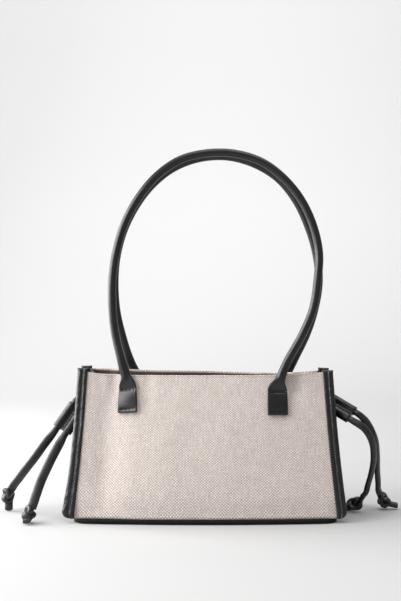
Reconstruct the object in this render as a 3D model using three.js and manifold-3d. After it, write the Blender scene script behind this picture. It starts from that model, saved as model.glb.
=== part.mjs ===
// A linen shoulder bag with leather bindings, two rolled handles and a drawcord on each side.
// Millimetres, +Z up. The origin is the middle of the base on the surface the bag stands on.
// The front faces -Y.
import * as THREE from 'three';
import { mergeVertices } from 'three/addons/utils/BufferGeometryUtils.js';
import Module from 'manifold-3d';

const wasm = await Module();
wasm.setup();

// Driving dimensions
const gap = 0.3;
const baseWidth = 300;
const topWidth = 278;
const sideBow = 1.3;
const baseDepth = 104;
const baseBow = 8;
const baseCorner = 15;
const baseThickness = 5;
const baseEdge = 1.4;
const cornerHeight = 161;
const rimDip = 7;
const mouthDepth = 36;
const mouthBow = 7;
const belly = 3;
const linenThickness = 2;
const foldDepth = 3;
const foldFade = 0.04;

const leatherThickness = 1.4;
const bindingWidth = 11.5;
const leftBindingRise = 1;
const rightBindingRise = -1.4;
const leftBindingSpread = 0.22;
const rightBindingSpread = 0.03;
const bindingSpreadHeight = 50;
const bindingCornerRadius = 8;
const panelTuck = 2.2;

const gussetThickness = 1.6;
const gussetFold = 30;
const gussetFoldStart = 0.15;
const gussetFoldRound = 0.12;
const gussetFoldEase = 1.5;
const gussetSink = 9;
const leftGussetDrop = 1.5;
const rightGussetDrop = 3.5;

const tabWidth = 21.7;
const tabHeight = 26;
const tabThickness = 2.6;
const tabClearance = 0.8;
const tabTop = 141;
const rightTabDrop = 2.4;
const tabSpacing = 161;
const handleDiameter = 9;
const handleTop = 401.3;
const handleSpread = 44;
const handleLean = 0.017;
const handleNeck = 13;
const handleTopSpacing = 17;
const frontHandleShift = -3;
const backHandleShift = 4.7;

const cordDiameter = 7;
const holeClearance = 1;
const holeHeight = 133;
const holeSpacing = 23;
const tailInside = 7;
const holeLead = 4;
const loopLead = 5;
const channelLead = 4.5;
const channelExit = 5;
const sliderLength = 31;
const sliderSpacing = 12.6;
const channelClearance = 0.5;
const sliderWall = 1.45;
const sliderWeb = 3;
const knotDiameter = 16;

// How finely each form is divided
const panelColumns = 22;
const panelRows = 9;
const baseColumns = 20;
const foldSteps = 6;
const bindingSteps = 6;
const gussetColumns = 12;
const gussetRows = 11;
const handleSides = 10;
const handleSteps = 36;
const cordSides = 8;
const tailSteps = 18;
const loopSteps = 10;
const boreSides = 14;
const knotSides = 9;

// The rims from left to right. Each point has a share of half the top width and of the rim's dip.
const rims = {
  front: [
    [-0.935, 0.43], [-0.892, 0.57], [-0.827, 0.83], [-0.755, 0.94], [-0.662, 0.985], [0, 1], [0.54, 1],
    [0.662, 0.97], [0.727, 0.86], [0.791, 0.7], [0.856, 0.6], [0.935, 0.53],
  ],
  back: [
    [-0.935, 0.29], [-0.791, 0.4], [-0.683, 0.49], [-0.59, 0.6], [-0.36, 0.77], [0, 0.83], [0.216, 1.01],
    [0.432, 1.1], [0.576, 1.11], [0.791, 0.94], [0.935, 0.64],
  ],
};

// Folds of the linen: across is a share of the half width, wide is a share of the half width,
// deep is a share of the fold depth, and from and to are shares of the height.
const folds = [
  { across: -0.735, wide: 0.115, deep: 2.1, from: -0.12, to: 1.3 },
  { across: -0.32, wide: 0.26, deep: -0.5, from: -0.2, to: 1.2 },
  { across: -0.7, wide: 0.03, deep: 0.35, from: 0.76, to: 1.2 },
  { across: -0.765, wide: 0.035, deep: -0.3, from: 0.7, to: 1.2 },
  { across: -0.44, wide: 0.04, deep: 0.5, from: 0.66, to: 1.2 },
  { across: 0.69, wide: 0.06, deep: 1.3, from: 0.72, to: 1.3 },
  { across: 0.2, wide: 0.2, deep: -0.3, from: 0.1, to: 0.9 },
];

// The handles. Each point of a route from the left tab to the right tab has a share of half the tab
// spacing, a share of the spread beyond it and a share of the height above the tabs.
const handles = {
  handle_front: {
    side: -1,
    shift: frontHandleShift,
    route: [
      [-1, 0, 0], [-1, -0.02, 0.03], [-1, -0.16, 0.107], [-1, -0.343, 0.226], [-1, -0.418, 0.347],
      [-1, -0.416, 0.468], [-1, -0.314, 0.588], [-1, -0.108, 0.704], [-0.96, 0.155, 0.81],
      [-0.79, 0.293, 0.903], [-0.52, 0.368, 0.971], [-0.18, 0.423, 1], [0.18, 0.469, 0.998],
      [0.52, 0.517, 0.962], [0.79, 0.57, 0.891], [0.96, 0.692, 0.797], [1, 0.906, 0.686],
      [1, 1.043, 0.568], [1, 0.993, 0.449], [1, 0.874, 0.331], [1, 0.598, 0.22], [1, 0.24, 0.113],
      [1, 0.04, 0.03], [1, 0, 0],
    ],
  },
  handle_back: {
    side: 1,
    shift: backHandleShift,
    route: [
      [-1, 0, 0], [-1, -0.04, 0.03], [-1, -0.185, 0.084], [-1, -0.405, 0.199], [-1, -0.564, 0.317],
      [-1, -0.613, 0.438], [-1, -0.554, 0.559], [-1, -0.366, 0.676], [-0.96, -0.12, 0.784],
      [-0.79, 0.002, 0.878], [-0.52, 0.063, 0.95], [-0.18, 0.1, 0.99], [0.18, 0.143, 0.995],
      [0.52, 0.199, 0.962], [0.79, 0.285, 0.9], [0.96, 0.42, 0.807], [1, 0.658, 0.698],
      [1, 0.873, 0.582], [1, 0.962, 0.461], [1, 0.876, 0.343], [1, 0.673, 0.227], [1, 0.363, 0.117],
      [1, 0.1, 0.03], [1, 0, 0],
    ],
  },
};

// A knot along its own short route: at is a share of the route, fat is a share of the knot's radius.
const knotProfile = [
  { at: 0, fat: 0.56 },
  { at: 0.1, fat: 0.92 },
  { at: 0.3, fat: 1 },
  { at: 0.48, fat: 0.86 },
  { at: 0.58, fat: 0.5 },
  { at: 0.8, fat: 0.46 },
  { at: 1, fat: 0.46 },
];

// The drawcord. A slider's place is the lower end of its near channel, along runs down its channels
// and beside runs from the near channel to the far one. Each tail's points follow its slider.
const drawcords = [
  {
    side: 'left',
    sign: -1,
    place: [-151.8, -14, 90.7],
    along: [-0.53, -0.3, -0.79],
    beside: [-0.84, 0.4, 0.41],
    tails: [
      {
        name: 'near',
        hole: -1,
        points: [[-164.5, -22, 68], [-171, -27, 54], [-176.5, -32, 41], [-180.5, -38.5, 28]],
        knot: [[-183.8, -45, 16.5], [-186.5, -49.5, 8.4], [-186.8, -56.5, 5.6], [-186.8, -62, 4.2]],
      },
      {
        name: 'far',
        hole: 1,
        points: [[-175, -10, 79], [-187, -7, 62.5], [-198.5, -2.5, 48], [-208.5, 2.5, 35]],
        knot: [[-215.5, 6.5, 25.5], [-220.5, 8, 17.5], [-220, 7.5, 9], [-218.8, 6.8, 1.2]],
      },
    ],
  },
  {
    side: 'right',
    sign: 1,
    place: [156, -20, 107],
    along: [0.79, -0.4, -0.46],
    beside: [0.62, 0.62, 0.48],
    tails: [
      {
        name: 'near',
        hole: -1,
        points: [
          [171.9, -25, 97.2], [180.7, -22.5, 82.9], [183.8, -16.5, 64], [182.6, -9.5, 46.3], [179.5, -3, 30],
        ],
        knot: [[175.5, 1, 19], [167.5, 3.8, 8.6], [158.5, 4.5, 5.6], [152, 4.5, 4.2]],
      },
      {
        name: 'far',
        hole: 1,
        points: [[177, -14.5, 101.5], [186.5, -10.5, 82], [190, -3, 63], [192, 6.5, 44.5], [194, 12, 28.5]],
        knot: [[196.2, 15.5, 18.5], [200.2, 17, 9], [208.5, 17.2, 5.8], [216.5, 17.2, 4.2]],
      },
    ],
  },
];

const linenMaterial = new THREE.MeshStandardMaterial({ color: '#d3c8c0', roughness: 0.95 });
const leatherMaterial = new THREE.MeshStandardMaterial({ color: '#2b2a2b', roughness: 0.45 });

const bag = new THREE.Group();

function addPiece(name, geometry, material) {
  const mesh = new THREE.Mesh(geometry, material.clone());
  mesh.name = name;
  bag.add(mesh);
  return mesh;
}

function smooth(low, high, value) {
  const share = Math.min(Math.max((value - low) / (high - low), 0), 1);
  return share * share * (3 - 2 * share);
}

// A closed body from points and triangles, with its faces pointing out
function closedBody(points, triangles) {
  let volume = 0;
  for (const [a, b, c] of triangles) {
    volume += points[a].dot(new THREE.Vector3().crossVectors(points[b], points[c]));
  }
  const geometry = new THREE.BufferGeometry();
  geometry.setFromPoints(points);
  geometry.setIndex(triangles.flatMap(([a, b, c]) => (volume < 0 ? [a, c, b] : [a, b, c])));
  geometry.computeVertexNormals();
  return geometry;
}

// A body through rings of the same section, closed by a flat cap at each end
function loftedBody(rings, section) {
  const count = section.length;
  const points = rings.flat();
  const triangles = [];
  for (let i = 0; i < rings.length - 1; i += 1) {
    for (let k = 0; k < count; k += 1) {
      const next = (k + 1) % count;
      const a = i * count + k;
      const b = i * count + next;
      triangles.push([a, b, b + count], [a, b + count, a + count]);
    }
  }
  const last = (rings.length - 1) * count;
  for (const [a, b, c] of THREE.ShapeUtils.triangulateShape(section, [])) {
    triangles.push([a, c, b], [last + a, last + b, last + c]);
  }
  return closedBody(points, triangles);
}

// A sheet with a wall, from a surface of two shares from 0 to 1. The wall lies level on the inner side,
// so its lower edge stays flat. The step is the distance over which the surface's slope is read.
function sheetBody(surface, columns, rows, thickness, outward) {
  const outer = [];
  const inner = [];
  const step = 0.002;
  for (let r = 0; r <= rows; r += 1) {
    for (let c = 0; c <= columns; c += 1) {
      const across = c / columns;
      const up = r / rows;
      const point = surface(across, up);
      const alongAcross = surface(across + step, up).sub(surface(across - step, up));
      const alongUp = surface(across, up + step).sub(surface(across, up - step));
      const normal = alongAcross.cross(alongUp).setZ(0).normalize();
      if (normal.dot(outward) < 0) normal.negate();
      outer.push(point);
      inner.push(point.clone().addScaledVector(normal, -thickness));
    }
  }
  const points = [...outer, ...inner];
  const half = outer.length;
  const triangles = [];
  const at = (c, r) => r * (columns + 1) + c;
  for (let r = 0; r < rows; r += 1) {
    for (let c = 0; c < columns; c += 1) {
      const [a, b, d, e] = [at(c, r), at(c + 1, r), at(c + 1, r + 1), at(c, r + 1)];
      triangles.push([a, b, d], [a, d, e]);
      triangles.push([half + a, half + d, half + b], [half + a, half + e, half + d]);
    }
  }
  const border = [];
  for (let c = 0; c < columns; c += 1) border.push(at(c, 0));
  for (let r = 0; r < rows; r += 1) border.push(at(columns, r));
  for (let c = columns; c > 0; c -= 1) border.push(at(c, rows));
  for (let r = rows; r > 0; r -= 1) border.push(at(0, r));
  border.forEach((a, k) => {
    const b = border[(k + 1) % border.length];
    triangles.push([a, half + a, half + b], [a, half + b, b]);
  });
  return closedBody(points, triangles);
}

// A round section of radius 1 with a flat side along its first direction
function roundSection(sides) {
  return Array.from({ length: sides }, (_, k) => {
    const turn = 2 * Math.PI * (k + 0.5) / sides;
    return new THREE.Vector2(Math.cos(turn), Math.sin(turn));
  });
}

function toSolid(geometry, matrix = new THREE.Matrix4()) {
  const bare = geometry.clone().applyMatrix4(matrix);
  bare.deleteAttribute('normal');
  bare.deleteAttribute('uv');
  const merged = mergeVertices(bare, 1e-4);
  return new wasm.Manifold(new wasm.Mesh({
    numProp: 3,
    vertProperties: new Float32Array(merged.attributes.position.array),
    triVerts: new Uint32Array(merged.index.array),
  }));
}

function toGeometry(solid) {
  const mesh = solid.getMesh();
  const geometry = new THREE.BufferGeometry();
  geometry.setAttribute('position', new THREE.BufferAttribute(new Float32Array(mesh.vertProperties), 3));
  geometry.setIndex(new THREE.BufferAttribute(new Uint32Array(mesh.triVerts), 1));
  geometry.computeVertexNormals();
  return geometry;
}

// The body's form: a trapezoid from the front that leans in from a deep base to a narrow mouth
const panelFoot = baseThickness + gap;
const panelHeight = cornerHeight - panelFoot;
const gussetClear = linenThickness + 2 * gap + leatherThickness;

function outerHalfWidth(up) {
  return THREE.MathUtils.lerp(baseWidth, topWidth, up) / 2 - sideBow * Math.sin(Math.PI * up);
}

function seamHalfWidth(up) {
  return outerHalfWidth(up) - bindingWidth;
}

function rimHeight(side, x) {
  const rim = side < 0 ? rims.front : rims.back;
  const place = THREE.MathUtils.clamp(x / (topWidth / 2), rim[0][0], rim[rim.length - 1][0]);
  const next = Math.max(rim.findIndex(([at]) => place <= at), 1);
  const [at, dip] = rim[next - 1];
  const [nextAt, nextDip] = rim[next];
  return cornerHeight - rimDip * THREE.MathUtils.lerp(dip, nextDip, (place - at) / (nextAt - at));
}

// How far the linen lies from the middle plane, for a share across from -1 to 1 and a share up
function panelOut(across, up) {
  const bow = 1 - across * across;
  const foot = baseDepth / 2 + baseBow * bow;
  const mouth = mouthDepth / 2 + mouthBow * bow;
  let out = THREE.MathUtils.lerp(foot, mouth, up) + belly * Math.sin(Math.PI * up) * bow;
  const seamShare = seamHalfWidth(up) / outerHalfWidth(up);
  const fade = 1 - smooth(seamShare - foldFade, seamShare, Math.abs(across));
  for (const fold of folds) {
    const near = Math.exp(-(((across - fold.across) / fold.wide) ** 2));
    const middle = (fold.from + fold.to) / 2;
    const reach = (fold.to - fold.from) / 2;
    const height = 1 - smooth(0.4, 1, Math.abs(up - middle) / reach);
    out -= foldDepth * fold.deep * near * height * fade;
  }
  return out;
}

function panelPoint(side, x, z) {
  const up = (z - panelFoot) / panelHeight;
  const across = x / outerHalfWidth(up);
  return new THREE.Vector3(x, side * panelOut(side < 0 ? across : -across, up), z);
}

// How fast a panel's place towards the back changes along X, over the width of a tab
function panelSlope(side, x, z) {
  const reach = tabWidth / 2;
  return (panelPoint(side, x + reach, z).y - panelPoint(side, x - reach, z).y) / tabWidth;
}

// A panel reaches past its seams into its bindings by one column on each side
function panelSurface(side) {
  const sewn = panelColumns / 2 - 1;
  return (share, up) => {
    const column = (share - 0.5) * panelColumns;
    const past = Math.max(Math.abs(column) - sewn, 0);
    const reach = Math.min(Math.abs(column) / sewn, 1) * seamHalfWidth(up) + past * panelTuck;
    const x = Math.sign(column) * reach;
    return panelPoint(side, x, panelFoot + up * (rimHeight(side, x) - panelFoot));
  };
}

function addPanel(name, side) {
  const outward = new THREE.Vector3(0, side, 0);
  const panel = sheetBody(panelSurface(side), panelColumns, panelRows, linenThickness, outward);
  addPiece(name, panel, linenMaterial);
}

// The base is a leather board with rounded corners, a rounded edge and the bow of the panels' foot
function addBase() {
  const halfLength = baseWidth / 2 - bindingWidth + gussetThickness + gap;
  const outline = (inset) => {
    const contour = [];
    for (const side of [-1, 1]) {
      for (let c = 0; c <= baseColumns; c += 1) {
        const share = -side * Math.sin(Math.PI * (c / baseColumns - 0.5));
        const rounding = Math.max(Math.abs(share) * halfLength - (halfLength - baseCorner), 0);
        const drawnIn = baseCorner - Math.sqrt(baseCorner ** 2 - rounding ** 2);
        const x = share * (halfLength - inset);
        const bow = 1 - (x / (baseWidth / 2)) ** 2;
        contour.push(new THREE.Vector2(x, side * (baseDepth / 2 + baseBow * bow + gap - drawnIn - inset)));
      }
    }
    return contour;
  };
  const levels = [
    { z: 0, inset: baseEdge },
    { z: baseEdge * 0.3, inset: baseEdge * 0.3 },
    { z: baseEdge, inset: 0 },
    { z: baseThickness - baseEdge, inset: 0 },
    { z: baseThickness, inset: baseEdge },
  ];
  const rings = levels.map(({ z, inset }) => outline(inset).map((p) => new THREE.Vector3(p.x, p.y, z)));
  addPiece('base', loftedBody(rings, outline(0)), leatherMaterial);
}

// A binding is leather folded round the edge of a panel: a front leaf, a fold and a back leaf. The slot
// for the panel ends short of the fold.
function bindingSection() {
  const slot = linenThickness + 2 * gap;
  const radius = slot / 2 + leatherThickness;
  const slotEnd = -leatherThickness - slot / 3;
  const outer = [];
  for (let k = 0; k <= foldSteps; k += 1) {
    const turn = Math.PI * (k / foldSteps - 0.5);
    outer.push(new THREE.Vector2(radius * (Math.cos(turn) - 1), radius * Math.sin(turn)));
  }
  return [
    ...outer,
    new THREE.Vector2(-bindingWidth, radius),
    new THREE.Vector2(-bindingWidth, slot / 2),
    new THREE.Vector2(slotEnd, slot / 2),
    new THREE.Vector2(slotEnd, -slot / 2),
    new THREE.Vector2(-bindingWidth, -slot / 2),
    new THREE.Vector2(-bindingWidth, -radius),
  ];
}

// A binding narrows round its lower corner and is broader near its foot on the left side
function bindingShare(sign, height) {
  const rest = Math.max(bindingCornerRadius - height, 0);
  const cut = bindingCornerRadius - Math.sqrt(bindingCornerRadius ** 2 - rest ** 2);
  const footSpread = sign < 0 ? leftBindingSpread : rightBindingSpread;
  const spread = footSpread * (1 - smooth(0, bindingSpreadHeight, height));
  return (bindingWidth - cut) / bindingWidth * (1 + spread);
}

function addBinding(name, side, sign) {
  const section = bindingSection();
  const heights = [0, 0.075, 0.225, 0.45, 0.75, 1].map((share) => share * bindingCornerRadius);
  const top = cornerHeight + (sign < 0 ? leftBindingRise : rightBindingRise);
  const straight = top - panelFoot - bindingCornerRadius;
  for (let k = 1; k <= bindingSteps; k += 1) {
    heights.push(bindingCornerRadius + straight * (k / bindingSteps));
  }
  const rings = heights.map((height) => {
    const z = panelFoot + height;
    const up = height / panelHeight;
    const width = bindingShare(sign, height);
    const edge = panelPoint(side, sign * seamHalfWidth(up), z);
    const out = panelPoint(side, sign * outerHalfWidth(up), z).sub(edge).normalize();
    const away = new THREE.Vector3(-out.y, out.x, 0).multiplyScalar(sign * side);
    const middle = edge.clone().addScaledVector(away, -linenThickness / 2);
    return section.map((p) => middle.clone()
      .addScaledVector(out, (p.x + bindingWidth) * width)
      .addScaledVector(away, p.y));
  });
  addPiece(name, loftedBody(rings, section), leatherMaterial);
}

// A gusset folds inwards in a V that deepens towards the top, where its middle sinks
function gussetIn(along, up) {
  const round = Math.hypot(1, gussetFoldRound);
  const rise = round - Math.hypot(Math.min(Math.abs(along), 1), gussetFoldRound);
  const valley = rise / (round - gussetFoldRound);
  return gussetFold * valley ** gussetFoldEase * smooth(gussetFoldStart, 1.05, up);
}

function gussetPoint(sign, along, up) {
  const drop = sign < 0 ? leftGussetDrop : rightGussetDrop;
  const sink = drop + gussetSink * (1 - smooth(0.5, 1, Math.abs(along)));
  const z = panelFoot + up * panelHeight - sink * smooth(0.6, 1, up);
  const edge = seamHalfWidth(up) + gussetThickness;
  const reach = panelOut(seamHalfWidth(up) / outerHalfWidth(up), up) - gussetClear;
  return new THREE.Vector3(sign * (edge - gussetIn(along, up)), along * reach, z);
}

function addGusset(name, sign) {
  const surface = (share, up) => gussetPoint(sign, 2 * share - 1, up);
  const outward = new THREE.Vector3(sign, 0, 0);
  const sheet = sheetBody(surface, gussetColumns, gussetRows, gussetThickness, outward);
  const radius = cordDiameter / 2 + holeClearance;
  const cutter = new THREE.CylinderGeometry(radius, radius, 4 * gussetFold, boreSides);
  let solid = toSolid(sheet);
  for (const hole of [-1, 1]) {
    const place = new THREE.Matrix4().makeRotationZ(Math.PI / 2);
    place.setPosition(sign * seamHalfWidth(1), hole * holeSpacing / 2, holeHeight);
    solid = solid.subtract(toSolid(cutter, place));
  }
  addPiece(name, toGeometry(solid), leatherMaterial);
}

// A handle's section: a flat tab that gathers into a round tube
function handleRing(centre, tangent, facing, halfWidth, halfThickness, square) {
  const wide = new THREE.Vector3().crossVectors(facing, tangent).normalize();
  const thick = new THREE.Vector3().crossVectors(tangent, wide);
  const power = 1 / (1 + 3 * square);
  return roundSection(handleSides).map(({ x, y }) => {
    const a = halfWidth * Math.sign(x) * Math.abs(x) ** power;
    const b = halfThickness * Math.sign(y) * Math.abs(y) ** power;
    return centre.clone().addScaledVector(wide, a).addScaledVector(thick, b);
  });
}

// Across the panel a tab keeps a clearance, and above it the handle leans in to its place at the top
function handlePath({ side, shift, route }) {
  const radius = handleDiameter / 2;
  const height = handleTop - radius - tabTop;
  const tabOut = tabThickness / 2 + tabClearance;
  const points = route.map(([across, out, up]) => {
    const gather = smooth(0, 0.2, up);
    const x = shift + across * tabSpacing / 2 + (out + handleLean * gather) * handleSpread;
    const z = tabTop + up * height - (across < 0 ? 0 : rightTabDrop) * (1 - gather);
    const neck = smooth(0, handleNeck, up * height);
    const onPanel = Math.abs(panelPoint(side, x, Math.min(z, rimHeight(side, x))).y);
    const standing = onPanel + THREE.MathUtils.lerp(tabOut, radius + 2 * gap, neck);
    const lean = smooth(0.06, 1, up);
    return new THREE.Vector3(x, side * THREE.MathUtils.lerp(standing, handleTopSpacing / 2, lean), z);
  });
  return new THREE.CatmullRomCurve3(points, false, 'centripetal');
}

// The lower end and the middle of a tab
function tabStations({ side, shift }, end) {
  const top = tabTop - (end < 0 ? 0 : rightTabDrop);
  return [0, 0.5].map((share) => {
    const x = shift + end * tabSpacing / 2;
    const centre = panelPoint(side, x, top - (1 - share) * tabHeight);
    centre.y += side * (tabThickness / 2 + tabClearance);
    return { centre, square: 1 };
  });
}

function addHandle(name) {
  const { side } = handles[name];
  const path = handlePath(handles[name]);
  const radius = handleDiameter / 2;
  const length = path.getLength();
  const rolled = [];
  for (let k = 0; k <= handleSteps; k += 1) {
    const run = Math.min(k, handleSteps - k) / handleSteps * length;
    rolled.push({ centre: path.getPointAt(k / handleSteps), square: 1 - smooth(0, handleNeck, run) });
  }
  const stations = [
    ...tabStations(handles[name], -1),
    ...rolled,
    ...tabStations(handles[name], 1).reverse(),
  ];
  const rings = stations.map(({ centre, square }, i) => {
    const before = stations[Math.max(i - 1, 0)].centre;
    const after = stations[Math.min(i + 1, stations.length - 1)].centre;
    const tangent = after.clone().sub(before).normalize();
    const halfWidth = THREE.MathUtils.lerp(radius, tabWidth / 2, square);
    const halfThickness = THREE.MathUtils.lerp(radius, tabThickness / 2, square);
    const yaw = square * panelSlope(side, centre.x, Math.min(centre.z, tabTop));
    return handleRing(centre, tangent, new THREE.Vector3(-yaw, 1, 0), halfWidth, halfThickness, square);
  });
  addPiece(name, loftedBody(rings, roundSection(handleSides)), leatherMaterial);
}

// A slider is one leather strip sewn into two channels side by side
function sliderAxes(drawcord) {
  const along = new THREE.Vector3(...drawcord.along).normalize();
  const face = new THREE.Vector3().crossVectors(along, new THREE.Vector3(...drawcord.beside)).normalize();
  const beside = new THREE.Vector3().crossVectors(face, along).normalize();
  return { along, beside, face };
}

function channelEnd(drawcord, far, lower) {
  const { along, beside } = sliderAxes(drawcord);
  const point = new THREE.Vector3(...drawcord.place);
  if (far) point.addScaledVector(beside, sliderSpacing);
  if (!lower) point.addScaledVector(along, -sliderLength);
  return point;
}

function addSlider(drawcord) {
  const { along, beside, face } = sliderAxes(drawcord);
  const bore = cordDiameter / 2 + channelClearance;
  const outer = bore + sliderWall;
  const channel = (radius, length, x) => {
    const turned = new THREE.Matrix4().makeTranslation(x, 0, 0);
    return toSolid(new THREE.CylinderGeometry(radius, radius, length, boreSides), turned);
  };
  let solid = channel(outer, sliderLength, 0).add(channel(outer, sliderLength, sliderSpacing));
  const web = new THREE.BoxGeometry(sliderSpacing, sliderLength, sliderWeb);
  solid = solid.add(toSolid(web, new THREE.Matrix4().makeTranslation(sliderSpacing / 2, 0, 0)));
  solid = solid.subtract(channel(bore, sliderLength * 2, 0));
  solid = solid.subtract(channel(bore, sliderLength * 2, sliderSpacing));
  const slider = addPiece(`slider_${drawcord.side}`, toGeometry(solid), leatherMaterial);
  const turn = new THREE.Matrix4().makeBasis(beside, along, face.clone().negate());
  slider.quaternion.setFromRotationMatrix(turn);
  slider.position.copy(channelEnd(drawcord, false, true)).addScaledVector(along, -sliderLength / 2);
}

function cordBody(points, steps) {
  const ring = new THREE.Shape();
  ring.absarc(0, 0, cordDiameter / 2, 0, 2 * Math.PI);
  return new THREE.ExtrudeGeometry(ring, {
    curveSegments: cordSides / 2,
    steps,
    extrudePath: new THREE.CatmullRomCurve3(points, false, 'centripetal'),
  });
}

// Where a drawcord passes through its gusset, just inside the wall
function holePoint(sign, hole, inside) {
  const up = (holeHeight - panelFoot) / panelHeight;
  const reach = panelOut(seamHalfWidth(up) / outerHalfWidth(up), up) - gussetClear;
  const wall = Math.abs(gussetPoint(sign, holeSpacing / 2 / reach, up).x);
  return new THREE.Vector3(sign * (wall - inside), hole * holeSpacing / 2, holeHeight);
}

// The route of a tail from inside the bag, through its gusset and its channel, to its knot
function tailPoints(drawcord, tail) {
  const { along } = sliderAxes(drawcord);
  const far = tail.name === 'far';
  const upper = channelEnd(drawcord, far, false);
  const lower = channelEnd(drawcord, far, true);
  const entry = knotRoute(tail.knot).getTangentAt(0);
  const last = new THREE.Vector3(...tail.knot[0]).addScaledVector(entry, -gap);
  const channelRun = [0.12, 0.37, 0.63, 0.88].map((share) => upper.clone().lerp(lower, share));
  return [
    holePoint(drawcord.sign, tail.hole, tailInside),
    holePoint(drawcord.sign, tail.hole, tailInside * 0.5),
    holePoint(drawcord.sign, tail.hole, -holeLead),
    upper.clone().addScaledVector(along, -channelLead),
    upper,
    ...channelRun,
    lower,
    lower.clone().addScaledVector(along, channelExit),
    ...tail.points.map((point) => new THREE.Vector3(...point)),
    last.clone().addScaledVector(entry, -channelLead),
    last,
  ];
}

// The stretch of drawcord inside the bag bends back from one hole to the other
function loopPoints(sign) {
  const reach = holeSpacing / 2;
  const arc = [0, 0.25, 0.5, 0.75, 1].map((share) => {
    const turn = Math.PI * (share - 0.5);
    const point = holePoint(sign, 0, tailInside + gap + loopLead);
    point.x -= sign * reach * Math.cos(turn);
    point.y = reach * Math.sin(turn);
    return point;
  });
  return [holePoint(sign, -1, tailInside + gap), ...arc, holePoint(sign, 1, tailInside + gap)];
}

function addDrawcord(drawcord) {
  addSlider(drawcord);
  for (const tail of drawcord.tails) {
    const cord = cordBody(tailPoints(drawcord, tail), tailSteps);
    addPiece(`cord_${drawcord.side}_${tail.name}`, cord, leatherMaterial);
    addKnot(`knot_${drawcord.side}_${tail.name}`, tail.knot);
  }
  addPiece(`loop_${drawcord.side}`, cordBody(loopPoints(drawcord.sign), loopSteps), leatherMaterial);
}

function knotRoute(knot) {
  const points = knot.map((point) => new THREE.Vector3(...point));
  return new THREE.CatmullRomCurve3(points, false, 'centripetal');
}

// A knot is a swelling on its cord that ends in a short tail. It rests on the ground, not below it.
function addKnot(name, knot) {
  const route = knotRoute(knot);
  const section = roundSection(knotSides);
  const rings = knotProfile.map(({ at, fat }) => {
    const centre = route.getPointAt(at);
    const tangent = route.getTangentAt(at);
    const wide = new THREE.Vector3().crossVectors(new THREE.Vector3(0, 0.3, 1), tangent).normalize();
    const thick = new THREE.Vector3().crossVectors(tangent, wide);
    const radius = fat * knotDiameter / 2;
    return section.map(({ x, y }) => {
      const point = centre.clone().addScaledVector(wide, x * radius).addScaledVector(thick, y * radius);
      point.z = Math.max(point.z, 0);
      return point;
    });
  });
  addPiece(name, loftedBody(rings, section), leatherMaterial);
}

addPanel('front_panel', -1);
addPanel('back_panel', 1);
addBase();
addBinding('binding_front_left', -1, -1);
addBinding('binding_front_right', -1, 1);
addBinding('binding_back_left', 1, -1);
addBinding('binding_back_right', 1, 1);
addGusset('left_gusset', -1);
addGusset('right_gusset', 1);
addHandle('handle_front');
addHandle('handle_back');
for (const drawcord of drawcords) addDrawcord(drawcord);

export default bag;
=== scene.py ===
import math

import bmesh
import bpy
from mathutils import Matrix, Vector, noise


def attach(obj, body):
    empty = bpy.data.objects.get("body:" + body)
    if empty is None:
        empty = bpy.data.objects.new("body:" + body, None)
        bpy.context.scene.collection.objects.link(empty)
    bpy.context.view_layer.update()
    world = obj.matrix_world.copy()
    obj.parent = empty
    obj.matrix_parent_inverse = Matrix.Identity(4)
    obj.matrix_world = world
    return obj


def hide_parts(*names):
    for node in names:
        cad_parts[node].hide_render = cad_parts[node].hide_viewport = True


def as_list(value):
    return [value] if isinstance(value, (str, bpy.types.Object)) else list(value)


# A linen shoulder bag with black leather trim, rolled handles and a knotted drawcord on each side.
# Metres, +Z up, the front faces -Y and the origin is the middle of the base.

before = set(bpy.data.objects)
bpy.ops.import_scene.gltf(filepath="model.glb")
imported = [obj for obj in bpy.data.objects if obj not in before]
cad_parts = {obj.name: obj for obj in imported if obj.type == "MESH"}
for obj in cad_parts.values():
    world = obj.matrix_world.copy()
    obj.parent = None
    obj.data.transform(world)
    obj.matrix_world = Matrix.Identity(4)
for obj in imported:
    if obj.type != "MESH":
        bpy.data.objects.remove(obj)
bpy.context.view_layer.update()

# The bag's sizes in metres, with some shares of them. A value given for -1 and 1 is for left and right.

# Body
GAP = 0.0003
BASE_WIDTH = 0.300
TOP_WIDTH = 0.278
BASE_DEPTH = 0.104
BASE_BOW = 0.008
BASE_CORNER = 0.015
BASE_THICKNESS = 0.005
BASE_ROUNDING = 0.0016
CORNER_HEIGHT = 0.161
RIM_DIP = 0.007
RIM_LOWEST = 0.14
SIDE_BOW = 0.0013
MOUTH_DEPTH = 0.036
MOUTH_BOW = 0.007
BELLY = 0.003
LINEN_THICKNESS = 0.002
LEATHER_THICKNESS = 0.0014
FOLD_DEPTH = 0.003
FOLD_FADE = 0.04
PANEL_TUCK = 0.0022
FOOT_ROLL = 0.0024
FOOT_ROLL_SHARE = 0.18
HEM_HEIGHT = 0.0021
HEM_PROUD = 0.0006
HEM_GROOVE = 0.0013
SHADED_INSIDE_DROP = 0.0016

# Bindings
BINDING_WIDTH = 0.0115
BINDING_TOP = {-1: 0.162, 1: 0.1596}
BINDING_CORNER_RADIUS = 0.008
BINDING_SPREAD = {-1: 0.22, 1: 0.03}
BINDING_SPREAD_HEIGHT = 0.05
BINDING_SEAM = 0.005
BINDING_ROLL = 0.0005

# Gussets
GUSSET_THICKNESS = 0.0016
GUSSET_FOLD = 0.030
GUSSET_FOLD_START = 0.15
GUSSET_FOLD_ROUND = 0.12
GUSSET_FOLD_EASE = 1.5
GUSSET_SINK = 0.009
GUSSET_DROP = {-1: 0.0015, 1: 0.0035}

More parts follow.
